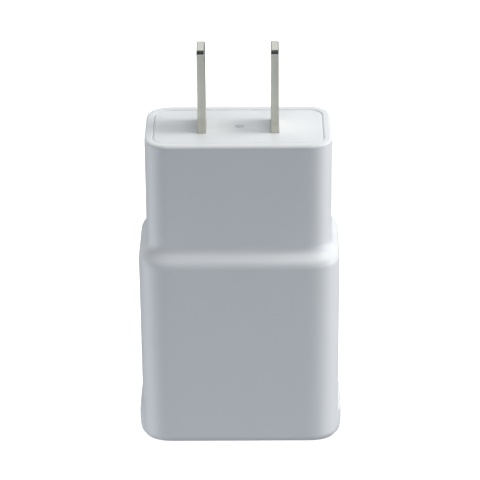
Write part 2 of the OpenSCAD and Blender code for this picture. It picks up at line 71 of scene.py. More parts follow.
HOUSING_H = HOUSING_HIGH.z
BODY_D = HOUSING_HIGH.y - HOUSING_LOW.y
WALL = 1.9
FLOOR_FILLET = 1.2
FLOOR_CORNER = 0.6
RIM_W = 1.47
RIM_D = 1.7
PLATE_GAP = 0.04
SEAT_W = PLATE_HIGH.x - PLATE_LOW.x + 2 * PLATE_GAP
SEAT_D = PLATE_HIGH.y - PLATE_LOW.y + 2 * PLATE_GAP
NECK_W = SEAT_W + 2 * RIM_W
NECK_D = SEAT_D + 2 * RIM_D
NECK_R = 4.0
NECK_LEN = 18.65
RIM_ROUND = 0.5
GROOVE_R = 0.36
GROOVE_TILT = math.radians(75)
PAD_OUT = 0.6
WAIST_W = HOUSING_HIGH.x - HOUSING_LOW.x - 2 * PAD_OUT
BODY_DRAFT = 0.1
BODY_W = WAIST_W + 2 * BODY_DRAFT
BODY_R = 5.2
SHOULDER_R = 2.15
SHOULDER_ANGLE = math.radians(48)
PAD_LEN = 14.5
PAD_TOP = 5.5
PAD_SLOPE = 1.2
PAD_ROUND = 2.6
PAD_INSET = 0.55
PAD_EDGE = 2.8
PAD_TURN = math.radians(80)
BASE_ROUND = 2.1
BASE_INSET_X = 0.5
BASE_INSET_Y = 4.0
BASE_CORNER_LOSS = 2.0

SEAT_R = NECK_R - RIM_W
PLATE_T = 2.4
GATE_X = 0.17
GATE_R = 0.8
GATE_DEPTH = 0.3
GATE_NUB_R = 0.25
SLOT_GAP = 0.05

BLADE_X = (BLADE_LOW.x + BLADE_HIGH.x) / 2
BLADE_T = BLADE_HIGH.x - BLADE_LOW.x
BLADE_W = BLADE_HIGH.y - BLADE_LOW.y
BLADE_EDGE = 0.2
TAIL_W = 4.0
TAIL_SHOULDER = PLATE_HIGH.z - PLATE_T - 1.8
TIP_BEVEL_H = 0.45
TIP_BEVEL_W = 0.86
TIP_LEDGE = 0.05
TIP_CROWN = 0.10
TIP_INSET_FOOT = 0.02
TIP_INSET_GROWTH = 0.12
TIP_FLAT = 0.03
TIP_TOP_THINNER = 0.36
TIP_TOP_NARROWER = 0.12
TIP_TOP_EDGE = BLADE_EDGE - 0.1

PORT_W = SHELL_HIGH.x - SHELL_LOW.x
PORT_D = SHELL_HIGH.y - SHELL_LOW.y
SHEET = 0.3
PORT_GAP = 0.15
PORT_CORNER = 0.6
PORT_CHAMFER = 0.25
FINGER_X = 3.1
FINGER_W = 2.2
FINGER_GAP = 0.4
FINGER_LOW = SHELL_LOW.z + 2.4
FINGER_ROOT = FINGER_LOW + 5.2
FINGER_PRESS = 0.35
FINGER_HOOK = 0.8
FINGER_TIP_SHARE = 0.45
TONGUE_W = 11.1
TONGUE_T = 1.84
TONGUE_Y = 0.55
TONGUE_ROUND = 0.3
TONGUE_CORNER = 0.35
BLOCK_CORNER = 0.3
TONGUE_BLOCK_LOW = TONGUE_HIGH.z - 2.2
CONTACT_W = 1.0
CONTACT_PLACES = (-3.5, -1.0, 1.0, 3.5)
CHANNEL_GAP = 0.06
CONTACT_EDGE = 0.06
CONTACT_END_INSET = 0.03
# A contact bows over the first part of its length, and its tip dives into the tongue.
CONTACT_BOW = 0.05
BOW_SHARE = 0.35
CONTACT_DIVE = 0.16
DIVE_SHARE = 0.12

QUARTER = math.pi / 2
# How far a soft corner reaches along its sides for each unit of power over 2, and the power itself.
SPREAD = 0.48
SOFT = 2.4
# Edges shorter than this are dissolved with the faces that they leave without area.
SLIVER = 0.001


# ---------------------------------------------------------------- mesh helpers
def mix(a, b, t):
    return a + (b - a) * t


def ease(t):
    return t * t * (3 - 2 * t)


def steps(count):
    """count + 1 values from 0 to 1."""
    return [i / count for i in range(count + 1)]


def outline(w, d, r, corner_steps=14, edge_steps=6, power=2.0):
    """A rectangle with round corners, counter-clockwise from above, with evenly split straight sides.

    A power of 2 gives circular corners. A higher one spreads the bend along the sides, as full as before.
    """
    reach = r * (1 + SPREAD * (power - 2))
    signs = [(1, 1), (-1, 1), (-1, -1), (1, -1)]
    arcs = []
    for k, (sx, sy) in enumerate(signs):
        centre = Vector((sx * (w / 2 - reach), sy * (d / 2 - reach)))
        arc = []
        for t in steps(corner_steps):
            c, v = max(0.0, math.cos(QUARTER * t)) ** (2 / power), math.sin(QUARTER * t) ** (2 / power)
            turned = Matrix.Rotation(QUARTER * k, 2) @ Vector((c, v))
            arc.append(centre + reach * turned)
        arcs.append(arc)
    points = []
    for k, arc in enumerate(arcs):
        start = arcs[(k + 1) % 4][0]
        points += arc
        points += [arc[-1].lerp(start, i / edge_steps) for i in range(1, edge_steps)]
    return points


def ring_3d(level, **detail):
    """level is (z, width, depth, corner radius)."""
    z, w, d, r = level
    return [Vector((p.x, p.y, z)) for p in outline(w, d, r, **detail)]


def link_mesh(name, bm):
    """Turns a bmesh into a linked object and frees it."""
    mesh = bpy.data.meshes.new(name)
    bm.to_mesh(mesh)
    bm.free()
    obj = bpy.data.objects.new(name, mesh)
    bpy.context.scene.collection.objects.link(obj)
    return obj


def mesh_object(name, bm, material):
    """Turns a bmesh in millimetres into a smooth-shaded piece in metres that rides on the one body."""
    bmesh.ops.scale(bm, vec=(MM, MM, MM), verts=bm.verts)
    bmesh.ops.recalc_face_normals(bm, faces=bm.faces)
    obj = link_mesh(name, bm)
    obj.data.shade_smooth()
    obj.data.materials.append(material)
    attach(obj, "root")
    return obj


def add_rings(bm, rings, closed=False):
    """Joins rings of equally many points into a skin. A closed skin also joins the last ring to the first."""
    loops = [[bm.verts.new(p) for p in ring] for ring in rings]
    pairs = list(zip(loops, loops[1:]))
    if closed:
        pairs.append((loops[-1], loops[0]))
    n = len(loops[0])
    for a, b in pairs:
        for j in range(n):
            k = (j + 1) % n
            bm.faces.new((a[j], a[k], b[k], b[j]))
    return loops


def even_normals(obj, angle_deg=35):
    """Keeps flat faces flat next to their roundings, and creases only where faces meet sharply."""
    obj.data.set_sharp_from_angle(angle=math.radians(angle_deg))
    modifier = obj.modifiers.new("even_normals", "WEIGHTED_NORMAL")
    modifier.keep_sharp = True
    modifier.weight = 100


def apply_modifier(obj, modifier):
    bpy.context.view_layer.objects.active = obj
    bpy.ops.object.modifier_apply(modifier=modifier.name)


def combine(obj, tool, operation):
    """Joins the tool's volume to obj or takes it out of obj, then removes the tool."""
    modifier = obj.modifiers.new("combine", "BOOLEAN")
    modifier.operation = operation
    modifier.solver = "EXACT"
    modifier.object = tool
    apply_modifier(obj, modifier)
    bpy.data.objects.remove(tool)


def cut(obj, cutter):
    combine(obj, cutter, "DIFFERENCE")


def drop_slivers(obj):
    """Splits what the cuts left into triangles and takes out those without area."""
    bm = bmesh.new()
    bm.from_mesh(obj.data)
    bmesh.ops.triangulate(bm, faces=bm.faces)
    bmesh.ops.dissolve_degenerate(bm, dist=SLIVER * MM, edges=bm.edges)
    bm.to_mesh(obj.data)
    bm.free()


def box_cutter(low, high):
    bm = bmesh.new()
    bmesh.ops.create_cube(bm, size=1)
    middle, size = (low + high) / 2, high - low
    for v in bm.verts:
        v.co = Vector([middle[i] + v.co[i] * size[i] for i in range(3)])
    bmesh.ops.scale(bm, vec=(MM, MM, MM), verts=bm.verts)
    return link_mesh("cutter", bm)


# ---------------------------------------------------------------- materials
class Shader:
    """A material whose Principled shader is fed by small procedural node groups."""

    def __init__(self, name, color, roughness, metallic=0.0):
        self.material = bpy.data.materials.new(name)
        self.material.use_nodes = True
        self.nodes = self.material.node_tree.nodes
        self.links = self.material.node_tree.links
        self.bsdf = self.nodes["Principled BSDF"]
        self.bsdf.inputs["Base Color"].default_value = (*color, 1)
        self.bsdf.inputs["Roughness"].default_value = roughness
        self.bsdf.inputs["Metallic"].default_value = metallic
        self.color = color
        self.roughness = roughness
        self.height = None

    def node(self, kind, **inputs):
        made = self.nodes.new(kind)
        for key, value in inputs.items():
            self.feed(made.inputs[key.replace("_", " ")], value)
        return made

    def feed(self, socket, value):
        if isinstance(value, bpy.types.NodeSocket):
            self.links.new(value, socket)
        else:
            socket.default_value = value

    def place(self, stretch=(1, 1, 1)):
        """Object coordinates, which are metres in the row frame, stretched along each axis."""
        coordinates = self.nodes.new("ShaderNodeTexCoord")
        mapping = self.node("ShaderNodeMapping", Vector=coordinates.outputs["Object"])
        mapping.inputs["Scale"].default_value = stretch
        return mapping.outputs["Vector"]

    def noise(self, size_mm, detail=3.0, stretch=(1, 1, 1), rough=0.55):
        made = self.node("ShaderNodeTexNoise", Vector=self.place(stretch), Scale=1 / (size_mm * MM),
                         Detail=detail, Roughness=rough)
        return made.outputs["Fac"]

    def ranged(self, value, low, high, from_low=0.0, from_high=1.0):
        made = self.node("ShaderNodeMapRange", Value=value)
        made.inputs["From Min"].default_value = from_low
        made.inputs["From Max"].default_value = from_high
        made.inputs["To Min"].default_value = low
        made.inputs["To Max"].default_value = high
        return made.outputs["Result"]

    def math(self, operation, a, b):
        made = self.nodes.new("ShaderNodeMath")
        made.operation = operation
        self.feed(made.inputs[0], a)
        self.feed(made.inputs[1], b)
        return made.outputs["Value"]

    def edges(self, low=0.515, high=0.56):
        """1 on the outer edges of the mesh and 0 elsewhere."""
        made = self.nodes.new("ShaderNodeNewGeometry")
        return self.ranged(made.outputs["Pointiness"], 0.0, 1.0, low, high)

    def tint(self, factor, color):
        """Mixes the base colour towards another one by a factor socket."""
        made = self.nodes.new("ShaderNodeMix")
        made.data_type = "RGBA"
        base = self.bsdf.inputs["Base Color"]
        before = base.links[0].from_socket if base.links else (*self.color, 1)
        color_a, color_b, mixed = made.inputs[6], made.inputs[7], made.outputs[2]
        self.feed(made.inputs["Factor"], factor)
        self.feed(color_a, before)
        self.feed(color_b, (*color, 1))
        self.links.new(mixed, base)

    def vary_roughness(self, value, low, high):
        self.links.new(self.ranged(value, low, high), self.bsdf.inputs["Roughness"])

    def bump(self, height, distance_mm, strength=1.0):
        """Adds a bump layer on top of the earlier ones."""
        made = self.node("ShaderNodeBump", Height=height, Strength=strength, Distance=distance_mm * MM)
        if self.height:
            self.links.new(self.height, made.inputs["Normal"])
        self.height = made.outputs["Normal"]
        self.links.new(self.height, self.bsdf.inputs["Normal"])


def moulded(name, color, roughness=0.42):
    """Cool white plastic with a fine spark-eroded grain, faint darker flow marks, and edges rubbed smoother
    and painted lighter as a painted highlight.
    """
    s = Shader(name, color, roughness)
    s.bsdf.inputs["IOR"].default_value = 1.49
    s.bsdf.inputs["Subsurface Weight"].default_value = 0.0
    grain = s.noise(0.16, detail=2.0)
    flow = s.noise(9.0, detail=3.0, stretch=(1, 1, 0.4))
    s.tint(s.ranged(flow, 0.0, 0.16, 0.3, 0.75), tuple(c * 0.955 for c in color))
    # Outer edges are rubbed smoother (real wear) and painted a little lighter (painted highlight).
    wear_and_highlight = s.edges(0.52, 0.60)
    s.tint(s.math("MULTIPLY", wear_and_highlight, 0.25), tuple(min(1.0, c * 1.06) for c in color))
    patch = s.noise(4.0, detail=4.0)
    rough = s.ranged(patch, roughness - 0.05, roughness + 0.05, 0.3, 0.7)
    s.links.new(s.math("SUBTRACT", rough, s.math("MULTIPLY", wear_and_highlight, 0.08)), s.bsdf.inputs["Roughness"])
    s.bump(grain, 0.012, 0.35)
    s.bump(flow, 0.05, 0.15)
    return s.material


def plated_metal(name, color, roughness, grain_stretch, grain_mm=0.06):
    """Plated sheet metal with fine drawn lines, soft stains, and edges polished smoother and painted lighter
    as a painted highlight.
    """
    s = Shader(name, color, roughness, metallic=1.0)
    lines = s.noise(grain_mm, detail=2.0, stretch=grain_stretch)
    cloud = s.noise(2.2, detail=4.0)
    s.tint(s.ranged(cloud, 0.0, 0.35, 0.35, 0.8), tuple(c * 0.86 for c in color))
    # Outer edges are polished smoother (real) and painted lighter (painted highlight).
    wear_and_highlight = s.edges(0.52, 0.6)
    s.tint(s.math("MULTIPLY", wear_and_highlight, 0.4), tuple(min(1.0, c * 1.15) for c in color))
    rough = s.ranged(lines, roughness - 0.07, roughness + 0.07, 0.25, 0.75)
    s.links.new(s.math("SUBTRACT", rough, s.math("MULTIPLY", wear_and_highlight, 0.1)), s.bsdf.inputs["Roughness"])
    s.bump(lines, 0.004, 0.5)
    return s.material


def plain_part(name, color, roughness, metallic=0.0, grain_mm=0.3, bump_mm=0.01):
    """A small electronic part: a mottled colour, uneven gloss, a fine grain and a painted highlight on its
    outer edges.
    """
    s = Shader(name, color, roughness, metallic)
    grain = s.noise(grain_mm)
    cloud = s.noise(grain_mm * 9)
    s.tint(s.ranged(cloud, 0.0, 0.5, 0.35, 0.75), tuple(c * 0.75 for c in color))
    # Painted highlight: the outer edges are painted lighter.
    s.tint(s.math("MULTIPLY", s.edges(), 0.3), tuple(min(1.0, c * 1.3 + 0.03) for c in color))
    s.vary_roughness(grain, max(0.05, roughness - 0.1), min(1.0, roughness + 0.1))
    s.bump(grain, bump_mm, 0.6)
    return s.material


def banded(name, color, roughness, metallic, turn_mm, axis, depth_mm):
    """Wire or tape wound in turns across one axis, with painted shade in the grooves between the turns."""
    s = Shader(name, color, roughness, metallic)
    wave = s.node("ShaderNodeTexWave", Vector=s.place(), Scale=1 / (turn_mm * MM) / math.tau * math.pi / 10)
    wave.bands_direction = axis
    # Painted shade: the low grooves between the turns are painted darker.
    s.tint(s.ranged(wave.outputs["Fac"], 0.5, 0.0, 0.0, 0.5), tuple(c * 0.45 for c in color))
    s.vary_roughness(s.noise(0.4), roughness - 0.08, roughness + 0.12)
    s.bump(wave.outputs["Fac"], depth_mm, 0.8)
    return s.material


def laminate(name):
    """Green solder mask with the weave of the glass cloth showing through, and darker copper areas below."""
    s = Shader(name, (0.02, 0.16, 0.06), 0.32)
    copper = s.node("ShaderNodeTexVoronoi", Vector=s.place(), Scale=1 / (3.2 * MM))
    copper.distance = "MANHATTAN"
    s.tint(s.ranged(copper.outputs["Distance"], 0.7, 0.0, 0.28, 0.34), (0.05, 0.27, 0.10))
    weave_a = s.node("ShaderNodeTexWave", Vector=s.place(), Scale=1 / (0.5 * MM) / 20)
    weave_b = s.node("ShaderNodeTexWave", Vector=s.place(), Scale=1 / (0.5 * MM) / 20)
    weave_b.bands_direction = "Z"
    weave = s.math("ADD", weave_a.outputs["Fac"], weave_b.outputs["Fac"])
    s.bump(s.ranged(copper.outputs["Distance"], 1.0, 0.0, 0.28, 0.34), 0.03, 0.7)
    s.bump(weave, 0.004, 0.4)
    s.vary_roughness(s.noise(1.2), 0.25, 0.42)
    return s.material


WHITE = (0.80, 0.815, 0.835)
NICKEL = (0.66, 0.65, 0.56)
MATERIALS = {
    "moulded_body": moulded("moulded_body", WHITE),
    "moulded_plate": moulded("moulded_plate", WHITE),
    "blade_metal": plated_metal("blade_metal", NICKEL, 0.36, (1, 1, 0.04)),
    "blade_polish": plated_metal("blade_polish", (0.66, 0.66, 0.63), 0.14, (1, 1, 0.2)),
    "clip_metal": plated_metal("clip_metal", (0.72, 0.46, 0.22), 0.34, (1, 1, 0.05)),
    "port_steel": plated_metal("port_steel", (0.62, 0.62, 0.61), 0.3, (1, 1, 0.06)),
    "contact_gold": plated_metal("contact_gold", (0.86, 0.60, 0.24), 0.25, (1, 1, 0.08)),
    "tinned_pins": plated_metal("tinned_pins", (0.70, 0.70, 0.69), 0.33, (1, 0.1, 1)),
    "port_insulator": plain_part("port_insulator", (0.80, 0.80, 0.78), 0.45, grain_mm=0.12, bump_mm=0.006),
    "board_laminate": laminate("board_laminate"),
    "insulation_film": plain_part("insulation_film", (0.72, 0.60, 0.28), 0.22, grain_mm=1.0),
    "ferrite": plain_part("ferrite", (0.055, 0.055, 0.06), 0.55, grain_mm=0.08, bump_mm=0.02),
    "bobbin_plastic": plain_part("bobbin_plastic", (0.02, 0.02, 0.022), 0.4),
    "enamelled_wire": banded("enamelled_wire", (0.55, 0.20, 0.06), 0.3, 1.0, 0.22, "Y", 0.05),
    "winding_tape": banded("winding_tape", (0.83, 0.60, 0.05), 0.28, 0.0, 1.1, "Y", 0.02),
    "capacitor_sleeve": plain_part("capacitor_sleeve", (0.02, 0.02, 0.03), 0.25, grain_mm=1.0),
    "polymer_can": plated_metal("polymer_can", (0.75, 0.76, 0.78), 0.24, (1, 1, 0.05)),
    "resistor_coat": plain_part("resistor_coat", (0.16, 0.24, 0.11), 0.6, grain_mm=0.15, bump_mm=0.02),
    "disc_coat": plain_part("disc_coat", (0.03, 0.10, 0.42), 0.28, grain_mm=0.8),
    "package_black": plain_part("package_black", (0.018, 0.018, 0.02), 0.5, grain_mm=0.1),
    "chip_ceramic": plain_part("chip_ceramic", (0.42, 0.30, 0.18), 0.45, grain_mm=0.1),
}


def piece(name, bm, slot, replaced):
    """A finished piece that stands for one CAD node."""
    obj = mesh_object(name, bm, MATERIALS[slot])
    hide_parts(replaced)
    return obj


# ---------------------------------------------------------------- housing
def groove_side(outwards):
    """One side of the soft groove between rim and plate: (depth, change of half width) from its bottom up."""
    points = []
    for t in steps(6):
        tilt = GROOVE_TILT * (1 - t)
        away = GROOVE_R * (math.sin(GROOVE_TILT) - math.sin(tilt))
        points.append((GROOVE_R * (1 - math.cos(tilt)), outwards * away))
    return points


def rim_levels():
    """From the bottom of the groove, up its outer side and over the rim to the neck's outer face."""
    inner = [(HOUSING_H - depth, SEAT_W + 2 * away, SEAT_D + 2 * away, SEAT_R + away)
             for depth, away in groove_side(1)]
    outer = []
    for t in steps(8):
        a = QUARTER * t
        inset = RIM_ROUND * (1 - math.sin(a))
        outer.append((HOUSING_H - RIM_ROUND * (1 - math.cos(a)), NECK_W - 2 * inset, NECK_D - 2 * inset,
                      NECK_R - inset))
    return inner, outer


def shoulder_profile(arc_steps=8):
    """(fall, outward share) along the shoulder: an arc, a straight slope and a second arc."""
    step = (BODY_D - NECK_D) / 2
    drop = SHOULDER_R * math.sin(SHOULDER_ANGLE)
    out = SHOULDER_R * (1 - math.cos(SHOULDER_ANGLE))
    slope = (step - 2 * out) / math.sin(SHOULDER_ANGLE)
    height = 2 * drop + slope * math.cos(SHOULDER_ANGLE)
    upper = [(SHOULDER_R * math.sin(SHOULDER_ANGLE * t), SHOULDER_R * (1 - math.cos(SHOULDER_ANGLE * t)))
             for t in steps(arc_steps)]
    lower = [(height - fall, step - away) for fall, away in reversed(upper)]
    return [(fall, away / step) for fall, away in upper + lower]


def body_levels():
    """The outer face from the neck's foot down to the base."""
    levels = []
    top = HOUSING_H - NECK_LEN
    for fall, share in shoulder_profile():
        levels.append((top - fall, mix(NECK_W, BODY_W, share), mix(NECK_D, BODY_D, share),
                       mix(NECK_R, BODY_R, share)))
    for t in steps(16):
        a = QUARTER * t
        share = 1 - math.cos(a)
        levels.append((BASE_ROUND * (1 - math.sin(a)), WAIST_W - 2 * BASE_INSET_X * share,
                       BODY_D - 2 * BASE_INSET_Y * share, BODY_R - BASE_CORNER_LOSS * share))
    return levels


def port_levels():
    """The hole for the USB port, from the chamfer at the base to the inner floor."""
    w, d = PORT_W + 2 * PORT_GAP, PORT_D + 2 * PORT_GAP
    levels = []
    for t in steps(4):
        a = QUARTER * t
        grow = PORT_CHAMFER * (1 - math.sin(a))
        levels.append((PORT_CHAMFER * (1 - math.cos(a)), w + 2 * grow, d + 2 * grow, PORT_CORNER + grow))
    return levels + [(WALL, w, d, PORT_CORNER)]


def inner_levels():
    """The inside, from its floor up to the ledge and the seat of the face plate."""
    bore_w, bore_d, bore_r = WAIST_W - 2 * WALL, BODY_D - 2 * WALL, BODY_R - WALL
    neck_w, neck_d, neck_r = NECK_W - 2 * WALL, NECK_D - 2 * WALL, NECK_R - WALL
    levels = []
    for t in steps(4):
        a = QUARTER * t
        inset = FLOOR_FILLET * (1 - math.sin(a))
        levels.append((WALL + FLOOR_FILLET * (1 - math.cos(a)), bore_w - 2 * inset, bore_d - 2 * inset,
                       max(bore_r - inset, FLOOR_CORNER)))
    shoulder_top = HOUSING_H - NECK_LEN
    shoulder_low = shoulder_top - shoulder_profile()[-1][0]
    ledge = PLATE_HIGH.z - PLATE_T
    levels += [
        (shoulder_low, bore_w, bore_d, bore_r),
        (shoulder_top - SHOULDER_R, neck_w, neck_d, neck_r),
        (ledge, neck_w, neck_d, neck_r),
        (ledge, SEAT_W, SEAT_D, SEAT_R),
    ]
    return levels


def pad_ring(side, z, out):
    """One level of a side pad: two upright rounded edges, cut off where the pad's root lies in the wall."""
    root = WAIST_W / 2 - WALL / 2
    middle = WAIST_W / 2 + out - PAD_EDGE
    turn = math.acos((root - middle) / PAD_EDGE)
    ring = []
    for end in (-1, 1):
        for t in steps(10):
            a = turn * (1 - t if end < 0 else t)
            y = end * (PAD_LEN / 2 - PAD_EDGE + PAD_EDGE * math.sin(a))
            ring.append(Vector((side * (middle + PAD_EDGE * math.cos(a)), y, z)) * MM)
    return ring


def pad_solid(side):
    """A pad low on one side of the body: a slope at its top, an upright face and a rounded lower edge."""
    profile = [(PAD_TOP - PAD_SLOPE * t, PAD_OUT * ease(t)) for t in steps(8)]
    for t in steps(12):
        a = PAD_TURN * t
        profile.append((PAD_ROUND * (1 - math.sin(a)), PAD_OUT - PAD_INSET * (1 - math.cos(a))))
    bm = bmesh.new()
    loops = add_rings(bm, [pad_ring(side, z, out) for z, out in profile])
    bm.faces.new(loops[0])
    bm.faces.new(loops[-1])
    bmesh.ops.recalc_face_normals(bm, faces=bm.faces)
    obj = link_mesh("pad", bm)
    obj.data.shade_smooth()
    return obj


def build_housing():
    inner_rim, outer_rim = rim_levels()
    rings = [ring_3d(level) for level in inner_levels() + inner_rim]
    rings += [ring_3d(level, power=SOFT) for level in outer_rim + body_levels()]
    rings += [ring_3d(level) for level in port_levels()]
    bm = bmesh.new()
    add_rings(bm, rings, closed=True)
    obj = piece("housing_shell", bm, "moulded_body", "housing")
    for side in (-1, 1):
        combine(obj, pad_solid(side), "UNION")
    even_normals(obj, 50)
    return obj


# ---------------------------------------------------------------- face plate
def gate_rings():
    """The round mark that the moulding gate leaves: a shallow dish with a small raised nub."""
    profile = [(GATE_R + 0.12, 0.0), (GATE_R, -0.02), (GATE_R * 0.9, -GATE_DEPTH * 0.55),
               (GATE_R * 0.72, -GATE_DEPTH), (GATE_NUB_R * 1.3, -GATE_DEPTH),
               (GATE_NUB_R, -GATE_DEPTH * 0.4), (GATE_NUB_R * 0.6, -GATE_DEPTH * 0.15)]
    return [(r, PLATE_HIGH.z + z) for r, z in profile]


def circle_ring(r, z, like):
    """A circle round the gate with as many points as another ring, at that ring's own angles."""
    angles = [math.atan2(p.y, p.x) for p in like]
    return [Vector((GATE_X + r * math.cos(a), r * math.sin(a), z)) for a in angles]


def build_face_plate():
    top, bottom = PLATE_HIGH.z, PLATE_HIGH.z - PLATE_T
    edge = groove_side(-1)
    levels = [(bottom, SEAT_W - 2 * PLATE_GAP, SEAT_D - 2 * PLATE_GAP, SEAT_R - PLATE_GAP),
              (top - 2 * edge[0][0], SEAT_W - 2 * PLATE_GAP, SEAT_D - 2 * PLATE_GAP, SEAT_R - PLATE_GAP)]
    levels += [(top - depth, SEAT_W + 2 * away, SEAT_D + 2 * away, SEAT_R + away) for depth, away in edge]
    rings = [ring_3d(level) for level in levels]
    for r, z in gate_rings():
        rings.append(circle_ring(r, z, rings[0]))
    bm = bmesh.new()
    loops = add_rings(bm, rings)
    bm.faces.new(loops[0])
    bm.faces.new(loops[-1])
    obj = piece("face_plate_moulding", bm, "moulded_plate", "face_plate")
    reach = Vector((BLADE_T / 2 + SLOT_GAP, BLADE_W / 2 + SLOT_GAP, PLATE_T))
    for side in (-1, 1):
        centre = Vector((side * BLADE_X, 0, PLATE_HIGH.z))
        cut(obj, box_cutter(centre - reach, centre + reach))
    drop_slivers(obj)
    even_normals(obj)
    return obj


# ---------------------------------------------------------------- blades
def blade_ring(z, x, t, w, r):
    return [Vector((x + p.x, p.y, z)) for p in outline(t, w, r, corner_steps=6, edge_steps=4)]


def build_blade(name, node, x):
    """A blade stamped from plated strip: rounded long edges, a narrow tail and a bevelled tip."""
    tip = BLADE_HIGH.z
    rings = [
        blade_ring(BLADE_LOW.z, x, BLADE_T, TAIL_W, BLADE_EDGE),
        blade_ring(TAIL_SHOULDER, x, BLADE_T, TAIL_W, BLADE_EDGE),
        blade_ring(TAIL_SHOULDER, x, BLADE_T, BLADE_W, BLADE_EDGE),
        blade_ring(HOUSING_H + 1, x, BLADE_T, BLADE_W, BLADE_EDGE),
        blade_ring(tip - TIP_BEVEL_H - TIP_LEDGE, x, BLADE_T, BLADE_W, BLADE_EDGE),
    ]
    facet_from = len(rings) - 1
    for t in steps(5):
        inset = TIP_INSET_FOOT + TIP_INSET_GROWTH * t * t
        width = BLADE_W - 2 * TIP_BEVEL_W * (t + TIP_CROWN * t * (1 - t))
        z = tip - TIP_BEVEL_H + (TIP_BEVEL_H - TIP_FLAT) * t
        rings.append(blade_ring(z, x, BLADE_T - 2 * inset, width, BLADE_EDGE - inset / 2))
    facet_to = len(rings) - 1
    top_width = BLADE_W - 2 * TIP_BEVEL_W - TIP_TOP_NARROWER
    rings.append(blade_ring(tip, x, BLADE_T - TIP_TOP_THINNER, top_width, TIP_TOP_EDGE))
    bm = bmesh.new()
    loops = add_rings(bm, rings)
    bm.faces.new(loops[0])
    bm.faces.new(loops[-1])
    for loop in loops[facet_from + 1:facet_to]:
        for v in loop:
            for face in v.link_faces:
                face.material_index = 1
    obj = piece(name, bm, "blade_metal", node)
    obj.data.materials.append(MATERIALS["blade_polish"])
    even_normals(obj, 30)
    return obj


# ---------------------------------------------------------------- USB port
def prism_cutter(outlines, depth):
    """Closed outlines in the x-z plane, drawn out to both sides of y = 0."""
    bm = bmesh.new()
    for points in outlines:
        near, far = [[bm.verts.new(Vector((x, y, z)) * MM) for x, z in points] for y in (-depth, depth)]
        bm.faces.new(near)
        bm.faces.new(far)
        for j in range(len(points)):
            k = (j + 1) % len(points)
            bm.faces.new((near[j], near[k], far[k], far[j]))
    bmesh.ops.recalc_face_normals(bm, faces=bm.faces)
    return link_mesh("cutter", bm)


def finger_slot(x):
    """The U-shaped slit that frees one spring finger."""
    inner, outer = FINGER_W / 2, FINGER_W / 2 + FINGER_GAP
    top, tip = FINGER_ROOT, FINGER_LOW + FINGER_GAP
    return [(x - outer, top), (x - outer, FINGER_LOW), (x + outer, FINGER_LOW), (x + outer, top),
            (x + inner, top), (x + inner, tip), (x - inner, tip), (x - inner, top)]


def bend_fingers(obj):
    """Presses the fingers inwards, deepest just behind their tips, which turn out again."""
    tip = FINGER_LOW + FINGER_GAP
    deepest = tip + FINGER_HOOK
    for v in obj.data.vertices:
        x, y, z = v.co / MM
        on_finger = abs(abs(x) - FINGER_X) < FINGER_W / 2 + FINGER_GAP / 4
        if not (on_finger and tip - 0.01 <= z <= FINGER_ROOT and abs(y) > PORT_D / 2 - 2 * SHEET):
            continue
        if z > deepest:
            share = ease((FINGER_ROOT - z) / (FINGER_ROOT - deepest))
        else:
            share = mix(FINGER_TIP_SHARE, 1, math.sin(QUARTER * (z - tip) / (deepest - tip)))
        v.co.y -= math.copysign(FINGER_PRESS * share, y) * MM


def build_usb_shell():
    """A folded sheet tube with four spring fingers."""
    low, high = SHELL_LOW.z, SHELL_HIGH.z
    lip = 0.12
    inner_w, inner_d, inner_r = PORT_W - 2 * SHEET, PORT_D - 2 * SHEET, PORT_CORNER - SHEET
    heights = [low + 2 * lip] + [mix(FINGER_LOW, FINGER_ROOT, t) for t in steps(14)] + [high]
    levels = [(z, PORT_W, PORT_D, PORT_CORNER) for z in reversed(heights)]
    for share in (0.25, 0.75):
        levels.append((low, mix(PORT_W, inner_w, share), mix(PORT_D, inner_d, share),
                       mix(PORT_CORNER, inner_r, share)))
    levels += [(z, inner_w, inner_d, inner_r) for z in heights]
    bm = bmesh.new()
    add_rings(bm, [ring_3d(level, corner_steps=6, edge_steps=12) for level in levels], closed=True)
    obj = piece("usb_shell_sheet", bm, "port_steel", "usb_shell")
    cut(obj, prism_cutter([finger_slot(-FINGER_X), finger_slot(FINGER_X)], PORT_D))
    bend_fingers(obj)
    even_normals(obj, 40)
    return obj


def build_usb_tongue():
    """The moulded tongue with a channel for each contact, on a block that closes the shell's back."""
    y = (TONGUE_Y - TONGUE_T / 2, TONGUE_Y + TONGUE_T / 2)
    tip, block = TONGUE_LOW.z, TONGUE_BLOCK_LOW
    bm = bmesh.new()
    rings = []
    for t in steps(5):
        inset = TONGUE_ROUND * (1 - math.sin(QUARTER * t))
        z = tip + TONGUE_ROUND * (1 - math.cos(QUARTER * t))
        rings.append((z, TONGUE_W - 2 * inset, TONGUE_T - 2 * inset, TONGUE_CORNER, TONGUE_Y))
    rings.append((block, TONGUE_W, TONGUE_T, TONGUE_CORNER, TONGUE_Y))
    block_y = (TONGUE_LOW.y + TONGUE_HIGH.y) / 2
    block_w, block_d = TONGUE_HIGH.x - TONGUE_LOW.x, TONGUE_HIGH.y - TONGUE_LOW.y
    for z in (block, TONGUE_HIGH.z):
        rings.append((z, block_w, block_d, BLOCK_CORNER, block_y))
    shapes = []
    for z, w, d, r, centre in rings:
        ring = ring_3d((z, w, d, r), corner_steps=5, edge_steps=2)
        shapes.append([p + Vector((0, centre, 0)) for p in ring])
    loops = add_rings(bm, shapes)
    bm.faces.new(loops[0])
    bm.faces.new(loops[-1])
    obj = piece("usb_tongue_moulding", bm, "port_insulator", "usb_tongue")
    for x in CONTACT_PLACES:
        low = Vector((x - CONTACT_W / 2 - CHANNEL_GAP, y[0] - 1, CONTACTS_LOW.z - CHANNEL_GAP))
        high = Vector((x + CONTACT_W / 2 + CHANNEL_GAP, CONTACTS_HIGH.y + CHANNEL_GAP, TONGUE_BLOCK_LOW))
        cut(obj, box_cutter(low, high))
    even_normals(obj, 40)
    return obj


